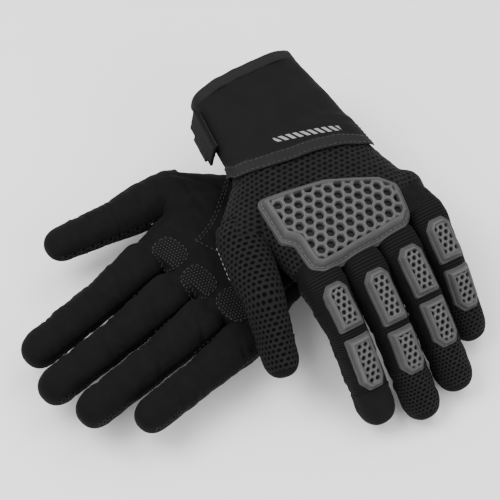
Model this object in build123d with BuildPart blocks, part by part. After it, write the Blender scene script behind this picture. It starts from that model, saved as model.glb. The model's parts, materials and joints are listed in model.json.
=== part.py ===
"""A pair of short-cuff motorcycle gloves: the right glove lies palm up, and the left glove lies across its
wrist, palm down. Each glove is a hand shell with hinged finger and thumb sleeves, moulded guards, a cuff
that bends at the wrist, and a closure flap that opens on the thumb side.

Frame, in millimetres: +Z up, origin at the bottom centre of the pair. The left fingers point along +X,
and the right fingers along -Y. In a glove's own frame, x runs across the hand, y towards the fingertips,
and z out of the back of the hand, with the origin at the centre of the wrist.
"""
import os
from math import cos, radians, sin

from build123d import *

os.makedirs("parts", exist_ok=True)

# ---- where each glove lies: wrist centre, turn of its fingers from +Y, tilt of its fingers, roll ----
GLOVES = {
    "left": {"thumb": 1, "wrist": (-52.84, 85.1, 65.9), "turn": -102, "tilt": -4, "roll": -6},
    "right": {"thumb": -1, "wrist": (-33.84, 64.1, 23.2), "turn": -180, "tilt": 4, "roll": 180},
}

# ---- fingers: knuckle across and along the hand, lean to the thumb, lengths of the base segment, the tip
# segment and the tip's guard, and the radius of the base segment ----
FINGERS = {
    "index": {"across": 37, "along": 93, "lean": 1, "base": 34, "tip": 61, "guard": 34, "radius": 12.2},
    "middle": {"across": 9, "along": 97, "lean": 2, "base": 39, "tip": 62, "guard": 29, "radius": 12.2},
    "ring": {"across": -18.5, "along": 94, "lean": 2, "base": 36, "tip": 62, "guard": 30, "radius": 12.2},
    "little": {"across": -46, "along": 86, "lean": 2, "base": 32, "tip": 52, "guard": 28, "radius": 11.6},
}
# how far each knuckle and each middle joint is bent as the gloves lie, degrees
BEND = {
    "left": {"index": (20, 16), "middle": (22, 10), "ring": (20, 10), "little": (22, 15), "thumb": (4, 23)},
    "right": {"index": (-7, 4), "middle": (-7, 5), "ring": (-7, 5), "little": (-6, 6), "thumb": (0, 6)},
}

# ---- fabric and fits ----
SLEEVE_WALL = 1.0
CLEARANCE = 0.4  # between a ball and the socket it turns in
HAND_WALL = 1.5
BALL_OPENING = 38  # degrees behind its equator at which a ball is cut open
FULL_BEND = 62  # the most that a finger joint bends from straight
RIM_SETBACK = 0.8  # a socket's rim stops this far short of its hinge
RELIEF_MARGIN = 4  # how far past the sleeve the palm-side relief of a socket reaches
RELIEF_DEPTH = 0.72  # depth of that relief as a share of a full bend's
WAIST = 0.45  # where the bore of a base segment narrows, as a share of its length
TIP_TAPER = 0.8  # how much narrower a fingertip is than the ball of its segment

# ---- hand form: distance along, centre towards the thumb, width, thickness ----
HAND_SECTIONS = [(-2, 0, 86, 32), (32, 7, 102, 36), (62, 0, 108, 35), (82, -4, 108, 28)]
COVER_SECTIONS = [(-2, 0, 86, 32), (32, 7, 102, 36), (62, 0, 108, 35), (98, -4, 108, 26)]
CORNER_SHARE = 0.46  # corner radius of a section as a share of its thickness
KNUCKLE_SOCKET = 1.4  # wall of a knuckle socket
SOCKET_LENGTH = 22

# ---- thumb ----
THUMB_ACROSS = 64
THUMB_ALONG = 44
THUMB_DROP = -2
THUMB_LEAN = 12
THUMB_SOCKET_LEAN = 28
THUMB_SOCKET_LENGTH = 36
THUMB_BALL = 15.8
THUMB_SOCKET = 17.8
THUMB_BASE = 41
THUMB_TIP = 48
THUMB_MID_RADIUS = 14.4
THUMB_END_RADIUS = 11.6
THUMB_RIM = 1.2  # the thumb socket's rim stops this far short of the joint
THUMB_CLEAR = 3  # what is cut away in front of the thumb's joint, past its socket

# ---- knuckle guard and its foam ----
GUARD_HEIGHT = 7.5
FOAM_HEIGHT = 1.6
GUARD_WRIST_EDGE = [(-37, 64), (-28, 54), (3, 40), (48, 31)]  # little-finger side to thumb side
GUARD_THUMB_EDGE = [(49, 62), (43, 69), (43, 87)]  # with its notch
GUARD_FINGER_EDGE = [(37, 92), (-26, 90), (-33, 84)]
GUARD_OUTLINE = GUARD_WRIST_EDGE + GUARD_THUMB_EDGE + GUARD_FINGER_EDGE
GUARD_CORNER = 4
GUARD_REACH = 40

# ---- finger guards ----
FINGER_GUARD_WIDTH = 16
FINGER_GUARD_HEIGHT = 4.6
FINGER_GUARD_START = 4
FINGER_GUARD_GAP = 1.6
FINGER_GUARD_CORNER = 3
FINGER_GUARD_CROWN = 1.2
FINGER_GUARD_FOOT = 0.5  # how low its sides reach, as a share of the sleeve's radius
GUARD_GAP = 0.15

# ---- palm pads ----
PAD_HEIGHT = 1.2
PALM_PADS = [(24, 78, 20, 14), (-2, 80, 20, 14), (-29, 76, 20, 14), (-30, 36, 26, 40)]
PAD_CORNER = 5

# ---- cuff ----
CUFF_START = -11
CUFF_END = -50
CUFF_SECTIONS = [(CUFF_START, 0, 85, 32), (-31, 0, 79, 33), (CUFF_END, 0, 74, 34)]
CUFF_WALL = 2.5
BINDING = 1.0
BINDING_LENGTH = 4
GUSSET_SECTIONS = [(-2, 0, 74, 23), (-9, 0, 74, 23)]
WRIST_HINGE = -6

# ---- closure flap on the thumb side of the cuff ----
FLAP_SIDE = 43.9
FLAP_TAPER = 7.6  # degrees that the cuff's side turns in towards its open end
FLAP_START = -5
FLAP_LENGTH = 31
FLAP_TOP = 8
FLAP_DROP = 21
FLAP_THICK = 2.0
HOOK_THICK = 1.2
LOOP_THICK = 1.2
HOOK_GAP = 0.05
PATCH_MARGIN = 3
TAB_DROP = 5
TAB_LENGTH = 18


def finish(name, made):
    """Label one finished piece and write it."""
    made.part.label = name
    export_step(made.part, f"parts/{name}.step")


def hand_location(glove):
    """Place a glove's own frame: turned about Z, tilted about X, then rolled about Y."""
    place = GLOVES[glove]
    return Location(place["wrist"], (place["turn"], place["tilt"], place["roll"]), Intrinsic.ZXY)


def finger_location(glove, finger, bent=True):
    """Place a knuckle's frame: y runs along the finger, and bending turns it towards the palm."""
    side = GLOVES[glove]["thumb"]
    size = FINGERS[finger]
    bend = BEND[glove][finger][0] if bent else 0
    where = (side * size["across"], size["along"], 0)
    return hand_location(glove) * Location(where, (-side * size["lean"], -bend, 0), Intrinsic.ZXY)


def thumb_location(glove, lean=THUMB_LEAN, bent=True):
    """Place the frame of the thumb's base joint."""
    side = GLOVES[glove]["thumb"]
    bend = BEND[glove]["thumb"][0] if bent else 0
    where = (side * THUMB_ACROSS, THUMB_ALONG, THUMB_DROP)
    return hand_location(glove) * Location(where, (-side * lean, -bend, 0), Intrinsic.ZXY)


def next_location(base, length, bend):
    """Place the frame of the joint at the far end of a segment."""
    return base * Location((0, length, 0), (-bend, 0, 0))


def section_plane(glove, along, centre, drop=0):
    """A plane square to the hand at a distance along it."""
    side = GLOVES[glove]["thumb"]
    frame = hand_location(glove) * Location((side * centre, along, drop))
    axes = Plane(frame)
    return Plane(origin=axes.origin, x_dir=axes.x_dir, z_dir=axes.y_dir)


def hand_form(glove, sections, grow, mode=Mode.ADD):
    """Loft the rounded sections of a hand or cuff, each grown by the same amount on every side."""
    faces = []
    for along, centre, width, thickness in sections:
        with BuildSketch(section_plane(glove, along, centre)) as section:
            tall = thickness + 2 * grow
            RectangleRounded(width + 2 * grow, tall, CORNER_SHARE * tall)
        faces.append(section.sketch)
    loft(faces, mode=mode)


def trimmed(sections, start, end):
    """The same sections with their two ends moved along the hand."""
    first = (sections[0][0] + start, *sections[0][1:])
    last = (sections[-1][0] + end, *sections[-1][1:])
    return [first, *sections[1:-1], last]


def tube(location, radius, start, end, mode=Mode.ADD):
    """A round bar along a joint frame's y axis, from start to end."""
    plane = Plane(location)
    origin = plane.from_local_coords((0, start, 0))
    with BuildSketch(Plane(origin=origin, x_dir=plane.x_dir, z_dir=plane.y_dir)) as disc:
        Circle(radius)
    extrude(disc.sketch, amount=end - start, mode=mode)


def palm_relief(location, hinge, radius, mode=Mode.SUBTRACT):
    """Cut the palm side of a socket back along a sloping plane, so that the sleeve in it can bend."""
    plane = Plane(location)
    side_plane = Plane(origin=plane.origin, x_dir=plane.y_dir, z_dir=plane.x_dir)
    reach = radius + RELIEF_MARGIN
    back = reach * sin(radians(FULL_BEND)) * RELIEF_DEPTH
    with BuildSketch(side_plane) as wedge:
        with BuildLine():
            Polyline((hinge, 0), (hinge + reach, 0), (hinge + reach, -reach), (hinge - back, -reach), close=True)
        make_face()
    extrude(wedge.sketch, amount=radius + 0.2, both=True, mode=mode)


def ball_lip(radius):
    """The point where a ball of this radius is cut open behind its equator."""
    return (radius * cos(radians(BALL_OPENING)), -radius * sin(radians(BALL_OPENING)))


def ball_side(radius):
    """The point halfway between that lip and the equator."""
    return (radius * cos(radians(BALL_OPENING / 2)), -radius * sin(radians(BALL_OPENING / 2)))


def base_sleeve(name, location, ball, wall, end_radius, length):
    """A segment that is open at both ends: a ball turns in the hand, and the far mouth is a socket."""
    plane = Plane(location)
    inner = ball - wall
    bore = end_radius - wall
    rim = length - RIM_SETBACK
    with BuildPart() as sleeve:
        with BuildSketch(plane):
            with BuildLine():
                ThreePointArc(ball_lip(ball), ball_side(ball), (ball, 0))
                Polyline((ball, 0), (end_radius, rim), (bore, rim), (bore, length * WAIST), (inner, 0))
                ThreePointArc((inner, 0), ball_side(inner), ball_lip(inner))
                Line(ball_lip(inner), ball_lip(ball))
            make_face()
        revolve(axis=Axis(plane.origin, plane.y_dir))
        palm_relief(location, length, end_radius)
    finish(name, sleeve)


def tip_sleeve(name, location, ball, wall, end_radius, length):
    """The last segment: a ball at its near end and a closed round tip."""
    plane = Plane(location)
    inner = ball - wall
    tip = end_radius - wall
    start = length - end_radius
    slant = radians(45)
    with BuildPart() as sleeve:
        with BuildSketch(plane):
            with BuildLine():
                ThreePointArc(ball_lip(ball), ball_side(ball), (ball, 0))
                Line((ball, 0), (end_radius, start))
                outer_mid = (end_radius * cos(slant), start + end_radius * sin(slant))
                ThreePointArc((end_radius, start), outer_mid, (0, length))
                Line((0, length), (0, length - wall))
                inner_mid = (tip * cos(slant), start + tip * sin(slant))
                ThreePointArc((0, length - wall), inner_mid, (tip, start))
                Line((tip, start), (inner, 0))
                ThreePointArc((inner, 0), ball_side(inner), ball_lip(inner))
                Line(ball_lip(inner), ball_lip(ball))
            make_face()
        revolve(axis=Axis(plane.origin, plane.y_dir))
    finish(name, sleeve)


def finger_guard(name, location, near_radius, far_radius, start, end):
    """A moulded guard on the back of one finger segment, hollowed to sit on the sleeve."""
    plane = Plane(location)
    middle = (start + end) / 2
    foot = near_radius * FINGER_GUARD_FOOT
    origin = plane.from_local_coords((0, middle, foot))
    top = near_radius - foot + FINGER_GUARD_HEIGHT
    with BuildPart() as guard:
        with BuildSketch(Plane(origin=origin, x_dir=plane.x_dir, z_dir=plane.z_dir)):
            RectangleRounded(FINGER_GUARD_WIDTH, end - start, FINGER_GUARD_CORNER)
        extrude(amount=top)
        side_plane = Plane(origin=plane.origin, x_dir=plane.x_dir, z_dir=plane.y_dir)
        near_gap = near_radius + GUARD_GAP
        far_gap = far_radius + GUARD_GAP
        with BuildSketch(side_plane.offset(start - 1)) as near_hollow:
            Circle(near_gap)
        with BuildSketch(side_plane.offset(end + 1)) as far_hollow:
            Circle(far_gap)
        loft([near_hollow.sketch, far_hollow.sketch], mode=Mode.SUBTRACT)
        crown = guard.faces().sort_by(Axis(plane.origin, plane.z_dir))[-1]
        fillet(crown.edges(), radius=FINGER_GUARD_CROWN)
    finish(name, guard)


def hand_outside(glove, mode=Mode.ADD):
    """The lofted body of the hand with its four knuckle sockets, not yet hollow."""
    hand_form(glove, HAND_SECTIONS, 0, mode=mode)
    for finger, size in FINGERS.items():
        straight = finger_location(glove, finger, bent=False)
        tube(straight, size["radius"] + CLEARANCE + KNUCKLE_SOCKET, -SOCKET_LENGTH, -RIM_SETBACK, mode=mode)


def hand_solid(glove):
    """The whole hollow hand: lofted body, knuckle sockets and thumb socket, in the builder that is open."""
    hand_outside(glove)
    thumb_socket = thumb_location(glove, THUMB_SOCKET_LEAN, bent=False)
    tube(thumb_socket, THUMB_SOCKET, -THUMB_SOCKET_LENGTH, 0)
    hand_form(glove, trimmed(HAND_SECTIONS, -1, -6), -HAND_WALL, mode=Mode.SUBTRACT)
    for finger, size in FINGERS.items():
        straight = finger_location(glove, finger, bent=False)
        tube(straight, size["radius"] + CLEARANCE, -SOCKET_LENGTH - 4, 2, mode=Mode.SUBTRACT)
        palm_relief(straight, 0, size["radius"] + CLEARANCE + KNUCKLE_SOCKET)
    tube(thumb_socket, THUMB_BALL + CLEARANCE, -THUMB_SOCKET_LENGTH + 4, 2, mode=Mode.SUBTRACT)
    thumb_straight = thumb_location(glove, bent=False)
    tube(thumb_straight, THUMB_SOCKET + THUMB_CLEAR, -THUMB_RIM, SOCKET_LENGTH, mode=Mode.SUBTRACT)
    palm_relief(thumb_straight, 0, THUMB_SOCKET + THUMB_CLEAR)


def hand_shells(glove):
    """Split the hand at its middle into the back-of-hand shell and the palm shell."""
    halves = {"back_shell": Keep.TOP, "palm_shell": Keep.BOTTOM}
    for name, keep in halves.items():
        with BuildPart() as shell:
            hand_solid(glove)
            split(bisect_by=Plane(hand_location(glove)), keep=keep)
        finish(f"{glove}_{name}", shell)


def guard_profile(glove):
    """The knuckle guard's outline, long on the index side and short on the little-finger side."""
    side = GLOVES[glove]["thumb"]
    with BuildSketch(Plane(hand_location(glove))) as outline:
        with BuildLine():
            FilletPolyline([(side * x, y) for x, y in GUARD_OUTLINE], radius=GUARD_CORNER, close=True)
        make_face()
    return outline.sketch


def knuckle_guard(glove):
    """The moulded knuckle guard: a plate of even height that follows the back of the hand."""
    with BuildPart() as guard:
        hand_form(glove, COVER_SECTIONS, GUARD_HEIGHT)
        extrude(guard_profile(glove), amount=GUARD_REACH, mode=Mode.INTERSECT)
        hand_form(glove, COVER_SECTIONS, FOAM_HEIGHT, mode=Mode.SUBTRACT)
    finish(f"{glove}_knuckle_guard", guard)
    with BuildPart() as foam:
        hand_form(glove, COVER_SECTIONS, FOAM_HEIGHT)
        extrude(guard_profile(glove), amount=GUARD_REACH, mode=Mode.INTERSECT)
        hand_outside(glove, Mode.SUBTRACT)
    finish(f"{glove}_guard_foam", foam)


def palm_pads(glove):
    """Thin reinforcing pads sewn on the palm."""
    side = GLOVES[glove]["thumb"]
    with BuildPart() as pads:
        hand_form(glove, COVER_SECTIONS, PAD_HEIGHT)
        with BuildSketch(Plane(hand_location(glove))):
            for x, y, width, length in PALM_PADS:
                with Locations((side * x, y)):
                    RectangleRounded(width, length, PAD_CORNER)
        extrude(amount=-GUARD_REACH, mode=Mode.INTERSECT)
        hand_outside(glove, Mode.SUBTRACT)
    finish(f"{glove}_palm_pads", pads)


def cuff(glove):
    """The cuff with its bound edge, and the knit gusset that joins it to the hand."""
    with BuildPart() as shell:
        hand_form(glove, CUFF_SECTIONS, 0)
        hand_form(glove, trimmed(CUFF_SECTIONS, 1, -1), -CUFF_WALL, mode=Mode.SUBTRACT)
    finish(f"{glove}_cuff_shell", shell)
    rim = [CUFF_SECTIONS[-1], (CUFF_END - BINDING_LENGTH, *CUFF_SECTIONS[-1][1:])]
    with BuildPart() as binding:
        hand_form(glove, rim, BINDING)
        hand_form(glove, trimmed(rim, 1, -1), -CUFF_WALL - BINDING, mode=Mode.SUBTRACT)
    finish(f"{glove}_cuff_binding", binding)
    with BuildPart() as gusset:
        hand_form(glove, GUSSET_SECTIONS, 0)
        hand_form(glove, trimmed(GUSSET_SECTIONS, 1, -1), -HAND_WALL, mode=Mode.SUBTRACT)
    finish(f"{glove}_wrist_gusset", gusset)


def closure_location(glove):
    """Place the closure's frame: its y axis follows the tapering thumb side of the cuff."""
    side = GLOVES[glove]["thumb"]
    return hand_location(glove) * Location((side * FLAP_SIDE, CUFF_START, 0), (0, 0, -side * FLAP_TAPER))


def flap_plate(glove, name, inset, start, length, top, drop, thick):
    """A flat piece standing on the thumb side of the cuff, at a distance out from the loop patch's face."""
    side = GLOVES[glove]["thumb"]
    centre = (side * (inset + thick / 2), start - length / 2, top - drop / 2)
    with BuildPart(Plane(closure_location(glove) * Location(centre))) as plate:
        Box(thick, length, drop)
    finish(f"{glove}_{name}", plate)


def closure(glove):
    """The hook-and-loop closure: loop patch on the cuff, hook patch and flap that swing out together."""
    patch_length = FLAP_LENGTH - 2 * PATCH_MARGIN
    patch_start = FLAP_START - PATCH_MARGIN
    patch_top = FLAP_TOP - PATCH_MARGIN
    patch_drop = FLAP_DROP - 2 * PATCH_MARGIN
    flap_plate(glove, "loop_patch", -LOOP_THICK, patch_start, patch_length, patch_top, patch_drop, LOOP_THICK)
    flap_plate(glove, "hook_patch", HOOK_GAP, patch_start, patch_length, patch_top, patch_drop, HOOK_THICK)
    flap = HOOK_THICK + HOOK_GAP
    flap_plate(glove, "closure_flap", flap, FLAP_START, FLAP_LENGTH, FLAP_TOP, FLAP_DROP, FLAP_THICK)
    tab_start = FLAP_START - (FLAP_LENGTH - TAB_LENGTH) / 2
    tab_top = FLAP_TOP - FLAP_DROP
    flap_plate(glove, "pull_tab", flap, tab_start, TAB_LENGTH, tab_top, TAB_DROP, FLAP_THICK)


def fingers(glove):
    """Two sleeves and two guards for each finger."""
    for finger, size in FINGERS.items():
        radius = size["radius"]
        next_ball = radius - SLEEVE_WALL - CLEARANCE
        end = next_ball - TIP_TAPER
        knuckle = finger_location(glove, finger)
        middle = next_location(knuckle, size["base"], BEND[glove][finger][1])
        name = f"{glove}_{finger}"
        base_sleeve(f"{name}_base", knuckle, radius, SLEEVE_WALL, radius, size["base"])
        tip_sleeve(f"{name}_tip", middle, next_ball, SLEEVE_WALL, end, size["tip"])
        base_end = size["base"] - FINGER_GUARD_GAP
        finger_guard(f"{name}_base_guard", knuckle, radius, radius, FINGER_GUARD_START, base_end)
        tip_end = FINGER_GUARD_GAP + size["guard"]
        finger_guard(f"{name}_tip_guard", middle, next_ball, next_ball, FINGER_GUARD_GAP, tip_end)


def thumb(glove):
    """The thumb's two sleeves."""
    base = thumb_location(glove)
    tip = next_location(base, THUMB_BASE, BEND[glove]["thumb"][1])
    ball = THUMB_MID_RADIUS - SLEEVE_WALL - CLEARANCE
    base_sleeve(f"{glove}_thumb_base", base, THUMB_BALL, SLEEVE_WALL, THUMB_MID_RADIUS, THUMB_BASE)
    tip_sleeve(f"{glove}_thumb_tip", tip, ball, SLEEVE_WALL, THUMB_END_RADIUS, THUMB_TIP)


for glove in GLOVES:
    hand_shells(glove)
    knuckle_guard(glove)
    palm_pads(glove)
    cuff(glove)
    closure(glove)
    fingers(glove)
    thumb(glove)
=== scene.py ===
"""Looks of a pair of motorcycle gloves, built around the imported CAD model.

Shapes are worked out in millimetres in each glove's own frame (x towards the thumb, y towards the
fingertips, z out of the back of the hand) and written to meshes in metres in the row frame.
"""
import json
import math

import bmesh
import bpy
import numpy as np
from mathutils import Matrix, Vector
from mathutils.bvhtree import BVHTree


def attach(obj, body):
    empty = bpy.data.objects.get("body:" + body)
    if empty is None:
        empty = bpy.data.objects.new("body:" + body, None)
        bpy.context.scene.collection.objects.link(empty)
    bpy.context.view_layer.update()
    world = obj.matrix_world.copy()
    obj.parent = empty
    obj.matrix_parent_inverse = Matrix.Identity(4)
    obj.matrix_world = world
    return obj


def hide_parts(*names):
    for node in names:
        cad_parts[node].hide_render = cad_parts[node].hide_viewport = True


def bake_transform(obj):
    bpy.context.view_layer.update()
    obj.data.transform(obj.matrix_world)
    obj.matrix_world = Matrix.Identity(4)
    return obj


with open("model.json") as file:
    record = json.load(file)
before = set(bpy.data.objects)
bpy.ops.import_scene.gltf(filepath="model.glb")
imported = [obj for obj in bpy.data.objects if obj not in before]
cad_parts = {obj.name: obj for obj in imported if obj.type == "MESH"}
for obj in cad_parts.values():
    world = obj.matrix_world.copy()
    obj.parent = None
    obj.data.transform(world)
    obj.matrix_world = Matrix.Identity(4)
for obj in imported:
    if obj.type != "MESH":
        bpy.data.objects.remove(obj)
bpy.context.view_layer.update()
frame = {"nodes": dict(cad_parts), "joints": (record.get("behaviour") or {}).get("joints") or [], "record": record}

MM = 0.001
GLOVES = ("left", "right")
FINGERS = ("index", "middle", "ring", "little")
JOINTS = {joint["name"]: joint for joint in frame["joints"]}
MOUNTS = {mount["name"]: mount for mount in frame["record"]["mounts"]}
THUMB_SIDE = {"left": 1, "right": -1}

# ---- sizes in millimetres, the same as the CAD model's ----
WRIST_HINGE = -6
HAND_SECTIONS = ((-6, 0, 83, 29), (-2, 0, 85, 31), (32, 5, 100, 35), (62, 0, 107, 34), (84, -4, 108, 27))
CUFF_SECTIONS = ((-54, 0, 73, 34), (-31, 0, 79, 33), (-11, 0, 84, 32), (-2, 0, 86, 32.5))
CUFF_END = -54
FINGER_RADIUS = {"index": 12.2, "middle": 12.2, "ring": 12.2, "little": 11.6}
TIP_GUARD = {"index": 34, "middle": 29, "ring": 30, "little": 28}
THUMB_RADIUS = 15.0
THUMB_ROOT = (26, 10, -3)
GUARD_OUTLINE = ((-37, 64), (-28, 54), (3, 40), (48, 31), (49, 62), (43, 69), (43, 87), (37, 92), (-26, 90),
                 (-33, 84))


# ---------------------------------------------------------------- frames
class Axes:
    """A right-handed frame in row millimetres."""

    def __init__(self, origin, x, y):
        self.origin = np.array(origin, float)
        self.x = np.array(x, float) / np.linalg.norm(x)
        y = np.array(y, float)
        y = y - self.x * (y @ self.x)
        self.y = y / np.linalg.norm(y)
        self.z = np.cross(self.x, self.y)

    def row(self, points):
        """Local millimetres to row millimetres."""
        points = np.asarray(points, float)
        return self.origin + points @ np.array([self.x, self.y, self.z])

    def local(self, points):
        """Row millimetres to local millimetres."""
        return (np.asarray(points, float) - self.origin) @ np.array([self.x, self.y, self.z]).T


def joint_pos(name):
    return np.array(JOINTS[name]["pos_m"], float) / MM


def joint_axis(name):
    return np.array(JOINTS[name]["axis"], float)


def hand_axes(glove):
    y = -np.array(MOUNTS[f"{glove}_cuff_opening"]["axis"], float)
    x = -joint_axis(f"{glove}_wrist_bend")
    return Axes(joint_pos(f"{glove}_wrist_bend") - WRIST_HINGE * y, x, y)


def tip_length(glove, finger, axes):
    """How far the CAD tip sleeve reaches along its own axis."""
    node = frame["nodes"][f"{glove}_{finger}_tip"]
    points = np.array([v.co for v in node.data.vertices], float) / MM
    return float(axes.local(points)[:, 1].max())


class Digit:
    """One finger or thumb: its centreline, bent as the glove lies, and the frames of its two segments."""

    def __init__(self, glove, finger):
        hand = hand_axes(glove)
        self.glove = glove
        self.name = f"{glove}_{finger}"
        knuckle = joint_pos(f"{self.name}_knuckle")
        middle = joint_pos(f"{self.name}_middle")
        x = -joint_axis(f"{self.name}_knuckle")
        self.base = Axes(knuckle, x, middle - knuckle)
        self.straight = Axes(knuckle, x, np.cross(hand.z, x))
        along = middle - knuckle
        self.bend = math.atan2(-(along @ self.straight.z), along @ self.straight.y)
        self.length = float(np.linalg.norm(along))
        self.second_bend = -math.radians(JOINTS[f"{self.name}_middle"]["range_deg"][0])
        turn = self.second_bend
        self.tip = Axes(middle, x, math.cos(turn) * self.base.y - math.sin(turn) * self.base.z)
        self.tip_reach = tip_length(glove, finger, self.tip)
        self.total = self.length + self.tip_reach

    def centreline(self, stations, soft=8.0):
        """Centre, forward and upward directions at distances from the knuckle, in row millimetres."""
        step = 0.25
        fine = np.arange(min(np.min(stations), 0) - 2 * soft, np.max(stations) + 1, step)
        turn = self.bend * smooth((fine + soft) / (2 * soft))
        turn = turn + self.second_bend * smooth((fine - self.length + soft) / (2 * soft))
        run = np.cumsum(np.cos(turn)) * step
        fall = np.cumsum(-np.sin(turn)) * step
        run = run - np.interp(0, fine, run)
        fall = fall - np.interp(0, fine, fall)
        at = lambda values: np.interp(stations, fine, values)[:, None]
        centre = self.straight.origin + at(run) * self.straight.y + at(fall) * self.straight.z
        forward = np.cos(at(turn)) * self.straight.y - np.sin(at(turn)) * self.straight.z
        upward = np.sin(at(turn)) * self.straight.y + np.cos(at(turn)) * self.straight.z
        return centre, forward, upward


def smooth(t):
    t = np.clip(t, 0, 1)
    return t * t * (3 - 2 * t)


def bump(values, centre, width):
    """A bell of height 1 about a centre."""
    return np.exp(-(((values - centre) / width) ** 2))


def folds(x, y, seed, across, along, count, depth):
    """Soft creases at uneven places and slants, the same on each run, as a depth pressed in."""
    rng = np.random.default_rng(seed)
    total = np.zeros(np.broadcast(x, y).shape)
    for _ in range(count):
        cx, cy = rng.uniform(*across), rng.uniform(*along)
        slant = rng.uniform(-0.5, 0.5)
        width, reach = rng.uniform(0.9, 2.0), rng.uniform(6, 14)
        off = (y - cy) * math.cos(slant) - (x - cx) * math.sin(slant)
        run = (y - cy) * math.sin(slant) + (x - cx) * math.cos(slant)
        crease = bump(off, 0, width) - 0.55 * bump(off, 2.2 * width, 1.3 * width)
        total = total + depth * rng.uniform(0.5, 1.0) * crease * bump(run, 0, reach)
    return total


def ripple(x, y, seed):
    """Smooth uneven waves, between about -1 and 1, the same on each run."""
    rng = np.random.default_rng(seed)
    total = np.zeros(np.broadcast(x, y).shape)
    for _ in range(7):
        angle = rng.uniform(0, 2 * math.pi)
        wave = rng.uniform(9, 26)
        phase = rng.uniform(0, 2 * math.pi)
        total = total + np.sin(2 * math.pi * (x * math.cos(angle) + y * math.sin(angle)) / wave + phase)
    return total / 4


# ---------------------------------------------------------------- mesh helpers
def make_object(name, points_mm, faces, materials, face_slots=None, attributes=None, shade=True):
    """A mesh object from row millimetres, with its materials and named vector attributes."""
    mesh = bpy.data.meshes.new(name)
    mesh.from_pydata([tuple(p) for p in np.asarray(points_mm) * MM], [], faces)
    obj = bpy.data.objects.new(name, mesh)
    bpy.context.scene.collection.objects.link(obj)
    for material in materials:
        mesh.materials.append(material)
    if face_slots is not None:
        mesh.polygons.foreach_set("material_index", np.asarray(face_slots, np.int32))
    for key, values in (attributes or {}).items():
        set_attribute(mesh, key, values)
    mesh.polygons.foreach_set("use_smooth", [shade] * len(mesh.polygons))
    mesh.update()
    return obj


def set_attribute(mesh, key, values):
    layer = mesh.attributes.get(key) or mesh.attributes.new(key, "FLOAT_VECTOR", "POINT")
    layer.data.foreach_set("vector", np.asarray(values, np.float32).ravel())


def grid_faces(rows, columns, closed, flip=False):
    """Quads of a grid of rows by columns, closed round its columns or open."""
    faces = []
    across = columns if closed else columns - 1
    for i in range(rows - 1):
        for j in range(across):
            k = (j + 1) % columns
            quad = (i * columns + j, i * columns + k, (i + 1) * columns + k, (i + 1) * columns + j)
            faces.append(quad[::-1] if flip else quad)
    return faces


def vertices_mm(obj):
    flat = np.empty(len(obj.data.vertices) * 3)
    obj.data.vertices.foreach_get("co", flat)
    return flat.reshape(-1, 3) / MM


def apply_modifiers(obj):
    """Replace an object's mesh with its evaluated one."""
    depsgraph = bpy.context.evaluated_depsgraph_get()
    mesh = bpy.data.meshes.new_from_object(obj.evaluated_get(depsgraph))
    obj.modifiers.clear()
    old = obj.data
    obj.data = mesh
    bpy.data.meshes.remove(old)
    return obj


def stitches(name, lines, material, length=2.3, gap=1.2, radius=0.28):
    """Sewing stitches as short capsules along lines, each a list of points and outward directions."""
    points, faces, cloth = [], [], []
    angle = np.linspace(0, 2 * math.pi, 6, endpoint=False)
    for line, out in lines:
        line, out = np.asarray(line, float), np.asarray(out, float)
        run = np.concatenate([[0], np.cumsum(np.linalg.norm(np.diff(line, axis=0), axis=1))])
        for start in np.arange(0.5, run[-1] - length, length + gap):
            ends = np.array([[np.interp(start + k, run, line[:, c]) for c in range(3)] for k in (0, length)])
            up = np.array([np.interp(start, run, out[:, c]) for c in range(3)])
            way = (ends[1] - ends[0]) / (np.linalg.norm(ends[1] - ends[0]) + 1e-9)
            across = np.cross(way, up)
            across /= np.linalg.norm(across) + 1e-9
            up = np.cross(across, way)
            base = len(points)
            for k, (share, size, lift) in enumerate(((0, 0.35, -0.3), (0.14, 0.85, 0.05), (0.5, 1.0, 0.2),
                                                     (0.86, 0.85, 0.05), (1, 0.35, -0.3))):
                centre = ends[0] + (ends[1] - ends[0]) * share + up * lift
                for a in angle:
                    points.append(centre + (across * math.cos(a) + up * math.sin(a)) * radius * size)
                    cloth.append((share * length, a * radius, 0))
            for k in range(4):
                for j in range(6):
                    n = (j + 1) % 6
                    row = base + 6 * k
                    faces.append((row + j, row + n, row + 6 + n, row + 6 + j))
            faces.append(tuple(base + j for j in reversed(range(6))))
            faces.append(tuple(base + 24 + j for j in range(6)))
    return make_object(name, points, faces, [material], attributes={"cloth": np.array(cloth)})


def soft_copy(node, name, body, material, voxel=0.45, rounds=5):
    """A cloth piece in the place of a thin CAD solid: the same outline with softened edges."""
    source = frame["nodes"][node]
    matrix = np.array(source.matrix_world)
    flat = np.empty(len(source.data.vertices) * 3)
    source.data.vertices.foreach_get("co", flat)
    points = (flat.reshape(-1, 3) @ matrix[:3, :3].T + matrix[:3, 3]) / MM
    obj = make_object(name, points, [tuple(p.vertices) for p in source.data.polygons], [])
    remesh = obj.modifiers.new("remesh", "REMESH")
    remesh.mode = "VOXEL"
    remesh.voxel_size = voxel * MM
    apply_modifiers(obj)
    relax = obj.modifiers.new("relax", "SMOOTH")
    relax.factor = 0.5
    relax.iterations = rounds
    apply_modifiers(obj)
    obj.data.materials.clear()
    obj.data.materials.append(material)
    glove = node.split("_")[0]
    set_attribute(obj.data, "cloth", hand_axes(glove).local(vertices_mm(obj)))
    obj.data.polygons.foreach_set("use_smooth", [True] * len(obj.data.polygons))
    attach(obj, body)
    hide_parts(node)
    return obj


def section_ring(width, thickness, power, count):
    """A rounded section of a hand or cuff: x across and z up, starting on the thumb side."""
    angle = np.linspace(0, 2 * math.pi, count, endpoint=False)
    c, s = np.cos(angle), np.sin(angle)
    x = width / 2 * np.sign(c) * np.abs(c) ** (2 / power)
    z = thickness / 2 * np.sign(s) * np.abs(s) ** (2 / power)
    return x, z


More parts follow.
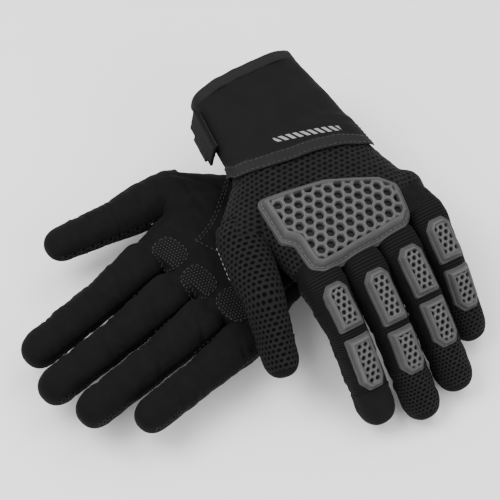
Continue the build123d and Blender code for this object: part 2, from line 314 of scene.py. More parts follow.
def loft_rings(sections, along, count, power=2.7, grow=0.0):
    """Rings at given distances along, through sections that a smooth curve joins."""
    keys = np.array(sections, float)
    rings = []
    for y in along:
        centre, width, thickness = (smooth_interp(y, keys[:, 0], keys[:, k]) for k in (1, 2, 3))
        x, z = section_ring(width + 2 * grow, thickness + 2 * grow, power, count)
        rings.append(np.column_stack([x + centre, np.full(count, y), z]))
    return np.array(rings)


def smooth_interp(value, xs, ys):
    """A smooth curve through points: a cubic with slopes from its neighbours."""
    value = np.clip(value, xs[0], xs[-1])
    slopes = np.gradient(ys, xs)
    i = int(np.clip(np.searchsorted(xs, value) - 1, 0, len(xs) - 2))
    h = xs[i + 1] - xs[i]
    t = (value - xs[i]) / h
    a = (1 + 2 * t) * (1 - t) ** 2 * ys[i] + t * (1 - t) ** 2 * h * slopes[i]
    return a + t * t * (3 - 2 * t) * ys[i + 1] + t * t * (t - 1) * h * slopes[i + 1]


# ---------------------------------------------------------------- materials
class Nodes:
    """A short way to write a material's maths as calls."""

    def __init__(self, name):
        self.material = bpy.data.materials.new(name)
        self.material.use_nodes = True
        self.tree = self.material.node_tree
        self.shader = self.tree.nodes["Principled BSDF"]

    def add(self, kind, **settings):
        node = self.tree.nodes.new(kind)
        for key, value in settings.items():
            setattr(node, key, value)
        return node

    def wire(self, socket, value):
        if isinstance(value, bpy.types.NodeSocket):
            self.tree.links.new(value, socket)
        else:
            socket.default_value = value

    def math(self, operation, *values):
        node = self.add("ShaderNodeMath", operation=operation)
        for socket, value in zip(node.inputs, values):
            self.wire(socket, value)
        return node.outputs[0]

    def attribute(self, key):
        """The three numbers of a vector attribute."""
        node = self.add("ShaderNodeAttribute", attribute_name=key)
        split = self.add("ShaderNodeSeparateXYZ")
        self.tree.links.new(node.outputs["Vector"], split.inputs[0])
        return node.outputs["Vector"], split.outputs[0], split.outputs[1], split.outputs[2]

    def step(self, value, low, high):
        """0 below low and 1 above high, smooth between."""
        node = self.add("ShaderNodeMapRange", interpolation_type="SMOOTHSTEP")
        self.wire(node.inputs["Value"], value)
        self.wire(node.inputs["From Min"], low)
        self.wire(node.inputs["From Max"], high)
        return node.outputs["Result"]

    def noise(self, vector, scale, detail=3.0, rough=0.55):
        node = self.add("ShaderNodeTexNoise")
        self.wire(node.inputs["Vector"], vector)
        node.inputs["Scale"].default_value = scale
        node.inputs["Detail"].default_value = detail
        node.inputs["Roughness"].default_value = rough
        return node.outputs["Fac"]

    def colour(self, factor, first, second):
        node = self.add("ShaderNodeMix", data_type="RGBA")
        self.wire(node.inputs["Factor"], factor)
        self.wire(node.inputs["A"], first)
        self.wire(node.inputs["B"], second)
        return node.outputs["Result"]

    def blend(self, factor, first, second):
        """first where factor is 0, second where it is 1."""
        node = self.add("ShaderNodeMix", data_type="FLOAT")
        self.wire(node.inputs["Factor"], factor)
        self.wire(node.inputs["A"], first)
        self.wire(node.inputs["B"], second)
        return node.outputs["Result"]

    def holes(self, u, v, pitch_u, pitch_v, half_u, half_v, soft=0.25):
        """Staggered rows of oval holes: 1 in a hole."""
        row = self.math("FLOOR", self.math("DIVIDE", v, pitch_v))
        shift = self.math("MULTIPLY", self.math("MODULO", self.math("ABSOLUTE", row), 2.0), 0.5)
        across = self.math("ADD", self.math("DIVIDE", u, pitch_u), shift)
        du = self.math("MULTIPLY", self.math("SUBTRACT", self.math("FRACT", across), 0.5), pitch_u / half_u)
        dv = self.math("SUBTRACT", self.math("FRACT", self.math("DIVIDE", v, pitch_v)), 0.5)
        dv = self.math("MULTIPLY", dv, pitch_v / half_v)
        square = self.math("ADD", self.math("MULTIPLY", du, du), self.math("MULTIPLY", dv, dv))
        return self.step(self.math("SQRT", square), 1 + soft, 1 - soft)

    def wave(self, value, pitch):
        """Ribs of a given pitch, from 0 to 1."""
        turn = self.math("MULTIPLY", value, 2 * math.pi / pitch)
        return self.math("MULTIPLY_ADD", self.math("SINE", turn), 0.5, 0.5)

    def finish(self, colour, roughness, height, strength, distance, sheen=0.0, specular=0.5):
        """Join colour, roughness and bump to the shader. distance is in millimetres."""
        self.wire(self.shader.inputs["Base Color"], colour)
        self.wire(self.shader.inputs["Roughness"], roughness)
        self.shader.inputs["Sheen Weight"].default_value = sheen
        self.shader.inputs["Sheen Roughness"].default_value = 0.5
        self.shader.inputs["Specular IOR Level"].default_value = specular
        bumps = self.add("ShaderNodeBump")
        bumps.inputs["Strength"].default_value = strength
        bumps.inputs["Distance"].default_value = distance * MM
        self.wire(bumps.inputs["Height"], height)
        self.tree.links.new(bumps.outputs["Normal"], self.shader.inputs["Normal"])
        return self.material


SHEEN = 0.012
COARSE_MESH = 4.3  # millimetres between holes
FINE_MESH = 3.1


def grey(level):
    return (level, level, level * 1.03, 1.0)


def suede_height(n, vector):
    """Nap of the synthetic suede."""
    fine = n.noise(vector, 1.6, 4.0, 0.7)
    broad = n.noise(vector, 0.12, 2.0)
    return fine, broad


def suede_material():
    """Palm: smooth synthetic suede."""
    n = Nodes("palm_suede")
    vector, _, _, _ = n.attribute("cloth")
    fine, broad = suede_height(n, vector)
    tone = n.math("ADD", n.math("MULTIPLY", fine, 0.35), n.math("MULTIPLY", broad, 0.65))
    colour = n.colour(tone, grey(0.0025), grey(0.0065))
    return n.finish(colour, n.blend(fine, 0.78, 0.95), fine, 0.35, 0.25, sheen=SHEEN, specular=0.07)


def rib_material():
    """Fine ribbed stretch fabric."""
    n = Nodes("ribbed_stretch")
    vector, u, v, _ = n.attribute("cloth")
    rib = n.wave(v, 1.5)
    knit = n.wave(u, 0.9)
    height = n.math("ADD", rib, n.math("MULTIPLY", knit, 0.35))
    broad = n.noise(vector, 0.1, 2.0)
    colour = n.colour(n.math("MULTIPLY", rib, n.blend(broad, 0.6, 1.0)), grey(0.0025), grey(0.008))
    return n.finish(colour, n.blend(rib, 0.9, 0.7), height, 0.6, 0.35, sheen=SHEEN, specular=0.07)


def mesh_pattern(n, u, v, pitch):
    """Open spacer mesh: long holes in staggered rows, and the yarn between them."""
    hole = n.holes(u, v, pitch, 0.74 * pitch, 0.33 * pitch, 0.23 * pitch)
    yarn = n.math("MULTIPLY", n.wave(n.math("ADD", u, v), 0.72), 0.3)
    height = n.math("SUBTRACT", yarn, n.math("MULTIPLY", hole, 1.6))
    return hole, height


def mesh_material(name, pitch):
    """Open spacer mesh on the fingertips and thumb."""
    n = Nodes(name)
    vector, u, v, _ = n.attribute("cloth")
    hole, height = mesh_pattern(n, u, v, pitch)
    broad = n.noise(vector, 0.1, 2.0)
    cloth = n.colour(broad, grey(0.0075), grey(0.0125))
    # painted shade: the holes are painted near black, as the shade inside each opening
    colour = n.colour(hole, cloth, grey(0.0006))
    return n.finish(colour, n.blend(hole, 0.75, 1.0), height, 0.8, 0.6, sheen=SHEEN, specular=0.07)


def plain_material(name, dark, light):
    """Plain woven fabric of the index fingertip, tapes and linings."""
    n = Nodes(name)
    vector, u, v, _ = n.attribute("cloth")
    weave = n.math("MULTIPLY", n.wave(n.math("ADD", u, v), 0.8), n.wave(n.math("SUBTRACT", u, v), 0.8))
    broad = n.noise(vector, 0.12, 2.0)
    colour = n.colour(n.math("ADD", n.math("MULTIPLY", weave, 0.5), n.math("MULTIPLY", broad, 0.5)),
                      grey(dark), grey(light))
    return n.finish(colour, 0.85, weave, 0.4, 0.2, sheen=SHEEN, specular=0.07)


def hand_material():
    """The hand's one skin: palm suede, back-of-hand mesh, and ribbed fabric over the knuckles."""
    n = Nodes("hand_fabrics")
    vector, x, y, z = n.attribute("cloth")
    fine, broad = suede_height(n, vector)
    palm_colour = n.colour(n.math("ADD", n.math("MULTIPLY", fine, 0.35), n.math("MULTIPLY", broad, 0.65)),
                           grey(0.0025), grey(0.0065))
    _, around, along, _ = n.attribute("weave")
    hole, mesh_height = mesh_pattern(n, around, along, COARSE_MESH)
    # painted shade: the mesh holes are painted near black, as the shade inside each opening
    mesh_colour = n.colour(hole, n.colour(broad, grey(0.0075), grey(0.0125)), grey(0.0006))
    rib = n.wave(y, 1.5)
    rib_colour = n.colour(rib, grey(0.0025), grey(0.008))
    knuckles = n.step(n.math("SUBTRACT", y, n.math("MULTIPLY", x, 0.16)), 73.0, 73.6)
    back_colour = n.colour(knuckles, mesh_colour, rib_colour)
    back_height = n.blend(knuckles, mesh_height, rib)
    seam = n.math("ADD", n.math("MULTIPLY", n.math("SINE", n.math("MULTIPLY", y, 0.06)), 1.2), -1.5)
    back = n.step(n.math("SUBTRACT", z, seam), -0.3, 0.3)
    pads = perforation(n, x, y)
    palm_colour = n.colour(pads, palm_colour, grey(0.030))
    colour = n.colour(back, palm_colour, back_colour)
    height = n.blend(back, n.math("SUBTRACT", n.math("MULTIPLY", fine, 0.4), pads), back_height)
    roughness = n.blend(back, n.blend(fine, 0.78, 0.95), 0.78)
    return n.finish(colour, roughness, height, 0.7, 0.45, sheen=SHEEN, specular=0.07)


def perforation(n, x, y):
    """Fine perforated fields on the palm pads: 1 in a hole."""
    field = None
    for cx, cy, rx, ry in PERFORATED_PADS:
        dx = n.math("DIVIDE", n.math("SUBTRACT", x, float(cx)), float(rx))
        dy = n.math("DIVIDE", n.math("SUBTRACT", y, float(cy)), float(ry))
        dx4 = n.math("POWER", n.math("ABSOLUTE", dx), 3.0)
        dy4 = n.math("POWER", n.math("ABSOLUTE", dy), 3.0)
        inside = n.step(n.math("ADD", dx4, dy4), 1.06, 0.98)
        field = inside if field is None else n.math("MAXIMUM", field, inside)
    return n.math("MULTIPLY", field, n.holes(x, y, 2.1, 1.8, 0.42, 0.42))


PERFORATED_PADS = ((26, 78, 11, 8), (-2, 80, 11, 8), (-29, 76, 11, 8), (-31, 42, 12, 20))


def neoprene_material(name, with_bars):
    """Cuff: fabric-faced neoprene, with or without a row of plain slanted printed bars."""
    n = Nodes(name)
    vector, x, y, z = n.attribute("cloth")
    knit = n.math("MULTIPLY", n.wave(x, 0.62), n.wave(y, 0.62))
    broad = n.noise(vector, 0.07, 2.0)
    fine = n.noise(vector, 2.0, 3.0)
    tone = n.math("ADD", n.math("MULTIPLY", broad, 0.7), n.math("MULTIPLY", fine, 0.3))
    cloth = n.colour(tone, grey(0.0045), grey(0.0085))
    if not with_bars:
        return n.finish(cloth, 0.85, knit, 0.35, 0.2, sheen=SHEEN, specular=0.07)
    on_back = n.step(z, 0.0, 1.0)
    run = n.math("ADD", y, n.math("MULTIPLY", x, 0.28))
    bars = n.math("ADD", n.math("DIVIDE", x, 4.6), n.math("MULTIPLY", run, 0.13))
    bar = n.step(n.math("ABSOLUTE", n.math("SUBTRACT", n.math("FRACT", bars), 0.5)), 0.30, 0.26)
    rows = n.step(n.math("ABSOLUTE", n.math("SUBTRACT", run, 5.0)), 2.3, 2.0)
    ends = n.step(n.math("ABSOLUTE", n.math("SUBTRACT", x, -7.0)), 21.2, 21.0)
    ribbed = n.math("MULTIPLY", n.step(run, -14.0, -13.4), n.step(x, 4.0, 3.4))
    ribbed = n.math("MULTIPLY", ribbed, on_back)
    knit = n.blend(ribbed, knit, n.math("MULTIPLY", n.wave(run, 1.9), 2.2))
    printed = n.math("MULTIPLY", n.math("MULTIPLY", bar, rows), n.math("MULTIPLY", ends, on_back))
    colour = n.colour(printed, cloth, grey(0.22))
    height = n.math("ADD", n.math("MULTIPLY", knit, 0.5), n.math("MULTIPLY", printed, 0.6))
    return n.finish(colour, n.blend(printed, 0.82, 0.45), height, 0.35, 0.2, sheen=SHEEN, specular=0.07)


def guard_material():
    """Moulded grey rubber, with a painted highlight on its raised edges and painted shade at the bottom of its
    holes.
    """
    n = Nodes("moulded_guard")
    _, high, edge, _ = n.attribute("relief")
    place, _, _, _ = n.attribute("cloth")
    grain = n.noise(place, 2.2, 3.0, 0.6)
    cloudy = n.noise(place, 0.15, 2.0)
    body = n.colour(n.math("ADD", n.math("MULTIPLY", grain, 0.4), n.math("MULTIPLY", cloudy, 0.6)),
                    grey(0.034), grey(0.054))
    # painted highlight: the raised rims of the holes and the top of the wall are painted lighter, unevenly
    body_and_edge_highlight = n.colour(n.math("MULTIPLY", edge, n.blend(cloudy, 0.35, 0.8)), body, grey(0.11))
    # painted shade: the bottoms of the holes are painted near black
    colour = n.colour(n.step(high, 0.0, 0.35), grey(0.004), body_and_edge_highlight)
    return n.finish(colour, n.blend(grain, 0.42, 0.6), grain, 0.25, 0.12, specular=0.22)


def thread_material(name, level):
    """Twisted sewing thread."""
    n = Nodes(name)
    _, u, _, _ = n.attribute("cloth")
    ply = n.wave(u, 0.45)
    colour = n.colour(ply, grey(level * 0.5), grey(level))
    return n.finish(colour, 0.6, ply, 0.4, 0.08, sheen=SHEEN)


def pile_material():
    """Hook-and-loop pile."""
    n = Nodes("hook_loop_pile")
    vector, _, _, _ = n.attribute("cloth")
    pile = n.noise(vector, 2.6, 5.0, 0.8)
    colour = n.colour(pile, grey(0.008), grey(0.05))
    return n.finish(colour, 0.95, pile, 1.0, 0.5, sheen=SHEEN, specular=0.07)


MAT = {
    "suede": suede_material(),
    "rib": rib_material(),
    "mesh": mesh_material("fine_mesh", FINE_MESH),
    "thumb_mesh": mesh_material("coarse_mesh", COARSE_MESH),
    "plain": plain_material("plain_weave", 0.004, 0.010),
    "tape": plain_material("tape_weave", 0.010, 0.019),
    "hand": hand_material(),
    "neoprene": neoprene_material("neoprene", True),
    "neoprene_plain": neoprene_material("neoprene_plain", False),
    "guard": guard_material(),
    "black_thread": thread_material("black_thread", 0.012),
    "pale_thread": thread_material("pale_thread", 0.22),
    "guard_thread": thread_material("guard_thread", 0.13),
    "suede_thread": thread_material("suede_thread", 0.02),
    "pile": pile_material(),
}


# ---------------------------------------------------------------- hand
def cap_fan(rings):
    """Close both ends of a stack of rings; returns points and faces."""
    rows, count, _ = rings.shape
    points = rings.reshape(-1, 3)
    faces = grid_faces(rows, count, True)
    points = np.vstack([points, rings[0].mean(0), rings[-1].mean(0)])
    first, last = rows * count, rows * count + 1
    for j in range(count):
        k = (j + 1) % count
        faces.append((first, k, j))
        faces.append((last, (rows - 1) * count + j, (rows - 1) * count + k))
    return points, faces


def bar_form(start, end, r_start, r_end, count=40):
    """A tapering bar with round ends between two points, in local millimetres."""
    start, end = np.array(start, float), np.array(end, float)
    way = (end - start) / np.linalg.norm(end - start)
    across = np.cross(way, (0, 0, 1.0))
    across /= np.linalg.norm(across)
    up = np.cross(across, way)
    length = np.linalg.norm(end - start)
    places, radii = [], []
    for t in np.linspace(-math.pi / 2, 0, 8)[1:]:
        places.append(r_start * math.sin(t))
        radii.append(r_start * math.cos(t))
    for t in np.linspace(0, math.pi / 2, 8)[:-1]:
        places.append(length + r_end * math.sin(t))
        radii.append(r_end * math.cos(t))
    angle = np.linspace(0, 2 * math.pi, count, endpoint=False)
    ring = np.cos(angle)[:, None] * across + np.sin(angle)[:, None] * up
    rings = np.array([start + way * p + ring * r for p, r in zip(places, radii)])
    return cap_fan(rings)


def hand_forms(glove):
    """The closed forms that join into one hand, in the glove's own frame with x towards the thumb."""
    along = np.concatenate([np.arange(-6, 84, 3.0), [84.0]])
    forms = [cap_fan(loft_rings(HAND_SECTIONS, along, 96))]
    side = THUMB_SIDE[glove]
    hand = hand_axes(glove)
    for finger in FINGERS:
        digit = Digit(glove, finger)
        hinge = hand.local(digit.base.origin)
        back = hand.local(digit.base.origin - 24 * digit.straight.y)
        hinge[0] *= side
        back[0] *= side
        radius = FINGER_RADIUS[finger]
        forms.append(bar_form(back, hinge, radius + 0.4, radius - 0.5))
    thumb = hand.local(joint_pos(f"{glove}_thumb_knuckle"))
    thumb[0] *= side
    forms.append(bar_form(THUMB_ROOT, thumb, 15.5, 15.6))
    forms.append(bar_form((34, 34, -7), (50, 46, -5), 13.0, 13.0))
    forms.append(bar_form((-36, 18, -6), (-38, 52, -6), 12.0, 12.0))
    return forms


def hand_skin(glove):
    """The hand's fabric: the joined forms as one smooth skin, hollow at the wrist."""
    points, faces, offset = [], [], 0
    for form_points, form_faces in hand_forms(glove):
        points.append(form_points)
        faces += [tuple(i + offset for i in face) for face in form_faces]
        offset += len(form_points)
    side = THUMB_SIDE[glove]
    hand = hand_axes(glove)
    local = np.vstack(points)
    local[:, 0] *= side
    obj = make_object(f"{glove}_hand_skin", hand.row(local), faces, [])
    if side < 0:
        obj.data.flip_normals()
    remesh = obj.modifiers.new("join", "REMESH")
    remesh.mode = "VOXEL"
    remesh.voxel_size = 1.35 * MM
    apply_modifiers(obj)
    relax = obj.modifiers.new("relax", "SMOOTH")
    relax.factor = 0.5
    relax.iterations = 9
    apply_modifiers(obj)
    wrinkle_hand(obj, hand, side)
    hollow_wrist(obj, hand, side)
    obj.data.materials.clear()
    obj.data.materials.append(MAT["hand"])
    local = hand.local(vertices_mm(obj))
    local[:, 0] *= side
    set_attribute(obj.data, "cloth", local)
    x, y, z = local.T
    around = x + np.sign(x) * np.maximum(15 - z, 0) * smooth((np.abs(x) - 22) / 22)
    set_attribute(obj.data, "weave", np.column_stack([around, y, np.zeros_like(x)]))
    obj.data.polygons.foreach_set("use_smooth", [True] * len(obj.data.polygons))
    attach(obj, f"{glove}_hand")
    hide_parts(f"{glove}_back_shell", f"{glove}_palm_shell", f"{glove}_guard_foam",
                f"{glove}_palm_pads", f"{glove}_wrist_gusset")
    return obj


def palm_thread(glove, skin):
    """Sewn lines on the palm: round each pad, and along the thumb's panel."""
    hand = hand_axes(glove)
    side = THUMB_SIDE[glove]
    tree = BVHTree.FromPolygons([tuple(p) for p in vertices_mm(skin)],
                                [tuple(f.vertices) for f in skin.data.polygons])
    paths = []
    for cx, cy, rx, ry in PERFORATED_PADS:
        turn = np.linspace(0, 2 * math.pi, 90)
        c, s = np.cos(turn), np.sin(turn)
        px = cx + 1.04 * rx * np.sign(c) * np.abs(c) ** 0.67
        py = cy + 1.04 * ry * np.sign(s) * np.abs(s) ** 0.67
        paths.append((px, py))
    run = np.linspace(0, 1, 80)
    paths.append((44 - 26 * np.sin(run * 1.5), 6 + 56 * run))
    paths.append((46 - 26 * np.sin(run * 1.5), 6 + 56 * run))
    paths.append((20 - 62 * run, 62 - 6 * np.sin(run * 3.1)))
    lines = []
    for px, py in paths:
        line = []
        for x, y in zip(px, py):
            hit = tree.ray_cast(Vector(hand.row((side * x, y, -60.0))), Vector(hand.z), 100)[0]
            if hit is not None:
                line.append(tuple(hit))
        lines.append((line, np.tile(-hand.z, (len(line), 1))))
    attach(stitches(f"{glove}_palm_thread", lines, MAT["suede_thread"]), f"{glove}_hand")


def wrinkle_hand(obj, hand, side):
    """Folds, hollows and sewn pads pressed into the skin."""
    row = vertices_mm(obj)
    local = hand.local(row)
    local[:, 0] *= side
    normals = np.array([v.normal for v in obj.data.vertices])
    x, y, z = local.T
    palm = smooth((-z - 2) / 5)
    lift = 0.45 * ripple(x, y + 0.5 * z, 5) + 0.2 * ripple(2 * x, 2 * y, 6)
    lift -= 1.5 * palm * bump(y - 0.45 * (x - 46), 26, 2.2) * smooth((x - 18) / 12)
    lift -= 1.3 * palm * bump(y + 0.28 * (x - 6), 52, 2.4) * smooth((34 - x) / 16) * smooth((x + 44) / 16)
    lift -= 1.0 * palm * bump(x - 0.25 * (y - 30), 6, 2.6) * smooth((y - 6) / 10) * smooth((50 - y) / 12)
    lift -= palm * folds(x, y, 21, (-40, 40), (4, 88), 16, 1.0)
    for cx, cy, rx, ry in PERFORATED_PADS:
        far = (np.abs((x - cx) / rx) ** 3 + np.abs((y - cy) / ry) ** 3) ** (1 / 3)
        lift += palm * 0.9 * smooth((1.12 - far) / 0.2)
        lift -= palm * 0.5 * bump(far, 1.16, 0.06)
    moved = row + normals * lift[:, None]
    obj.data.vertices.foreach_set("co", (moved * MM).ravel())
    obj.data.update()


def hollow_wrist(obj, hand, side):
    """Cut the hollow that a hand goes into."""
    along = np.arange(-16, 62, 3.0)
    rings = []
    for y in along:
        shrink = 2.2 + 10 * smooth((y - 20) / 42)
        rings.append(loft_rings(HAND_SECTIONS, [max(y, -6)], 64, grow=-shrink)[0])
        rings[-1][:, 1] = y
    rings = np.array(rings)
    rings[:, :, 0] *= side
    points, faces = cap_fan(rings)
    cutter = make_object("cutter", hand.row(points), faces, [])
    if side < 0:
        cutter.data.flip_normals()
    cut = obj.modifiers.new("hollow", "BOOLEAN")
    cut.operation = "DIFFERENCE"
    cut.object = cutter
    apply_modifiers(obj)
    bpy.data.objects.remove(cutter)


# ---------------------------------------------------------------- digits
def digit_profile(digit, stations, radius, thumb):
    """Half width, height to the back and to the palm, and squareness at each station."""
    length, total = digit.length, digit.total
    run = smooth(stations / (total - 12))
    sunk = smooth((stations + 11.5) / 9.5)
    swell = bump(stations, length * 0.5, 9)
    if thumb:
        half = (radius + 0.3) * (1 - 0.26 * run)
        back = radius * (1 - 0.43 * run)
        palm = (radius + 0.2) * (1 - 0.36 * run) * (1 + 0.04 * swell)
        power = 2.2 + 0.2 * run
    else:
        half = (radius + 0.5) * (1 - 0.09 * run) + 0.9 * smooth((14 - stations) / 12)
        back = (radius + 0.1) * (1 - 0.13 * run)
        palm = (radius + 0.3) * (1 - 0.10 * run) * (1 + 0.05 * swell)
        power = 2.2 + 0.8 * smooth((16 - stations) / 14) + 0.25 * run
    half = half * (1 - 0.035 * bump(stations, length, 7) + 0.025 * swell)
    palm = palm * (1 - 0.07 * bump(stations, length, 3.5))
    shrink = 1 - 0.17 * (1 - sunk)
    dome = 15.0
    t = np.clip((stations - (total - dome)) / dome, 0, 1)
    close = (1 - t ** 2.5) ** (1 / 2.3)
    return half * close * shrink, back * close * shrink, palm * close * shrink, power


def digit_rings(digit, radius, start, end, thumb=False, count=72, seed=0):
    """Rings of points along a digit, and their cloth coordinates."""
    total = digit.total
    stations = np.linspace(start, end, int((end - start) / 1.1))
    if end >= total - 0.1:
        stations = np.concatenate([stations[stations < total - 15.5], total - 15 * (1 - np.sin(
            np.linspace(0, math.pi / 2, 18)))])
    centre, _, upward = digit.centreline(stations)
    half, back, palm, power = digit_profile(digit, stations, radius, thumb)
    angle = np.linspace(0, 2 * math.pi, count, endpoint=False)
    c, s = np.cos(angle)[None, :], np.sin(angle)[None, :]
    shape = (2 / power)[:, None]
    x = half[:, None] * np.sign(c) * np.abs(c) ** shape
    height = np.where(s > 0, back[:, None], palm[:, None])
    z = height * np.sign(s) * np.abs(s) ** shape
    lift = digit_wrinkles(digit, stations[:, None], angle[None, :], seed)
    reach = np.sqrt(x * x + z * z) + 1e-9
    x, z = x * (1 + lift / reach), z * (1 + lift / reach)
    side = THUMB_SIDE[digit.glove]
    across = (side * x)[:, :, None] * digit.straight.x
    points = centre[:, None, :] + across + z[:, :, None] * upward[:, None, :]
    around = (angle - math.pi / 2)[None, :] * radius
    cloth = np.dstack([np.broadcast_to(around, x.shape), np.broadcast_to(stations[:, None], x.shape),
                       np.broadcast_to(s, x.shape)])
    return stations, points, cloth


def digit_wrinkles(digit, s, angle, seed):
    """Small folds on the palm side of the joints, seams along the sides, and uneven cloth."""
    up = np.sin(angle)
    fade = smooth((digit.total - 5 - s) / 10)
    palm = smooth((-up - 0.1) / 0.5)
    lift = 0.32 * ripple(angle * 9, s, seed + 11) + 0.16 * ripple(angle * 18, s * 2.2, seed + 12)
    for offset, depth in ((-4.5, 0.6), (0.0, 1.0), (5.0, 0.5)):
        lift = lift - depth * palm * bump(s, digit.length + offset, 1.1)
    lift = lift - 0.7 * palm * bump(s, digit.length + 0.52 * digit.tip_reach, 1.2)
    around = (np.mod(angle, 2 * math.pi) - 1.5 * math.pi) * 13
    lift = lift - folds(around, s, seed + 40, (-14, 14), (2, digit.total - 16), 9, 0.9)
    lift = lift - folds(around + 41, s, seed + 50, (-14, 14), (2, digit.total - 16), 4, 0.5)
    if digit.name.endswith("thumb") or digit.name.endswith("index"):
        lift = lift - 0.6 * bump(s, digit.total - 25, 0.55) + 0.35 * bump(s, digit.total - 23.4, 0.9)
    seam = bump(up, -0.22, 0.055)
    lift = lift - 0.45 * seam + 0.3 * bump(up, -0.34, 0.06) + 0.3 * bump(up, -0.10, 0.06)
    return lift * fade


def digit_piece(digit, name, rings, cloth, slots, materials):
    """One length of a digit's skin as an object."""
    rows, count, _ = rings.shape
    flip = THUMB_SIDE[digit.glove] < 0
    faces = grid_faces(rows, count, True, flip=not flip)
    face_slots = [slots(i, j) for i in range(rows - 1) for j in range(count)]
    points = rings.reshape(-1, 3)
    attribute = cloth.reshape(-1, 3)
    return make_object(name, points, faces, materials, face_slots, {"cloth": attribute})


def back_fabric(finger, s, digit):
    """Which fabric the back of a digit has at a station."""
    guard_end = digit.length + TIP_GUARD.get(finger, 0) + 1
    if s > digit.total - 5.5:
        return 0
    if finger == "thumb":
        return 2
    if finger in ("middle", "ring", "little"):
        return 2 if s > guard_end - 3 else 1
    return 3 if s > guard_end + 1 else 1


def digit_skin(glove, finger):
    """Both pieces of a finger's or thumb's skin, each with its transform baked into its mesh."""
    thumb = finger == "thumb"
    digit = Digit(glove, finger)
    radius = THUMB_RADIUS if thumb else FINGER_RADIUS[finger]
    split = round(digit.length * 0.55, 1)
    seed = 10 * (FINGERS + ("thumb",)).index(finger)
    materials = [MAT["suede"], MAT["rib"], MAT["thumb_mesh" if thumb else "mesh"], MAT["plain"]]
    pieces = {}
    for part, low, high in (("base", -11.5, split), ("tip", split, digit.total)):
        stations, rings, cloth = digit_rings(digit, radius, low, high, thumb, seed=seed)
        up = cloth[0, :, 2]

        def slots(i, j, stations=stations, up=up):
            middle = 0.5 * (up[j] + up[(j + 1) % len(up)])
            return 0 if middle < -0.22 else back_fabric(finger, stations[i], digit)

        pieces[part] = digit_piece(digit, f"{digit.name}_{part}_skin", rings, cloth, slots, materials)
        if part == "base":
            edge_thread(digit, rings, up, blend_base, "pale_thread" if thumb else "black_thread")
    blend_base(digit, pieces["base"])
    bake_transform(pieces["tip"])
    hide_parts(f"{digit.name}_base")
    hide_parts(f"{digit.name}_tip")
    return digit, pieces


def blend_base(digit, piece):
    """Bake the transform of a piece at the root of a digit into its mesh."""
    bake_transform(piece)


def edge_thread(digit, rings, up, follow, thread):
    """Running stitches along both side seams of a digit."""
    lines = []
    count = len(up)
    for columns in (range(count // 4, count * 3 // 4), range(-count // 4, count // 4)):
        column = min(columns, key=lambda j: abs(up[j % count] + 0.12)) % count
        line = rings[8:, column]
        out = line - rings[8:].mean(1)
        lines.append((line, out / np.linalg.norm(out, axis=1)[:, None]))
    obj = stitches(f"{digit.name}_edge_thread", lines, MAT[thread])
    follow(digit, obj)


# ---------------------------------------------------------------- guards
def rounded(corners, radius):
    """An outline with an arc in place of each corner."""
    corners = np.array(corners, float)
    points = []
    for before, corner, after in zip(np.roll(corners, 1, 0), corners, np.roll(corners, -1, 0)):
        a = (before - corner) / np.linalg.norm(before - corner)
        b = (after - corner) / np.linalg.norm(after - corner)
        half = math.acos(np.clip(a @ b, -1, 1)) / 2
        reach = min(radius / math.tan(half), 0.45 * np.linalg.norm(before - corner),
                    0.45 * np.linalg.norm(after - corner))
        for t in np.linspace(0, 1, 7):
            points.append(corner + (1 - t) ** 2 * reach * a + t ** 2 * reach * b)
    return np.array(points)


def outline_distance(x, y, outline):
    """How far outside an outline a point is, negative inside."""
    near = np.full(x.shape, 1e9)
    inside = np.zeros(x.shape, bool)
    for a, b in zip(outline, np.roll(outline, -1, 0)):
        edge = b - a
        t = np.clip(((x - a[0]) * edge[0] + (y - a[1]) * edge[1]) / max(edge @ edge, 1e-9), 0, 1)
        near = np.minimum(near, np.hypot(x - a[0] - t * edge[0], y - a[1] - t * edge[1]))
        if a[1] != b[1]:
            crosses = (a[1] > y) != (b[1] > y)
            inside ^= crosses & (x < edge[0] * (y - a[1]) / edge[1] + a[0])
    return np.where(inside, -near, near)


def hex_holes(x, y, pitch, hole):
    """Distance inside the nearest hole of a honeycomb, positive in a hole."""
    best = np.full(x.shape, 1e9)
    row_step = pitch * math.sqrt(3) / 2
    for shift in (0.0, 0.5):
        rows = np.round((y / row_step - 2 * shift) / 2) * 2 + 2 * shift
        columns = np.round(x / pitch - shift) + shift
        dx, dy = x - columns * pitch, y - rows * row_step
        far = np.maximum(np.abs(dx), np.abs(dx) * 0.5 + np.abs(dy) * math.sqrt(3) / 2)
        soft = np.sqrt(dx * dx + dy * dy)
        best = np.minimum(best, 0.6 * far + 0.4 * soft)
    return hole - best


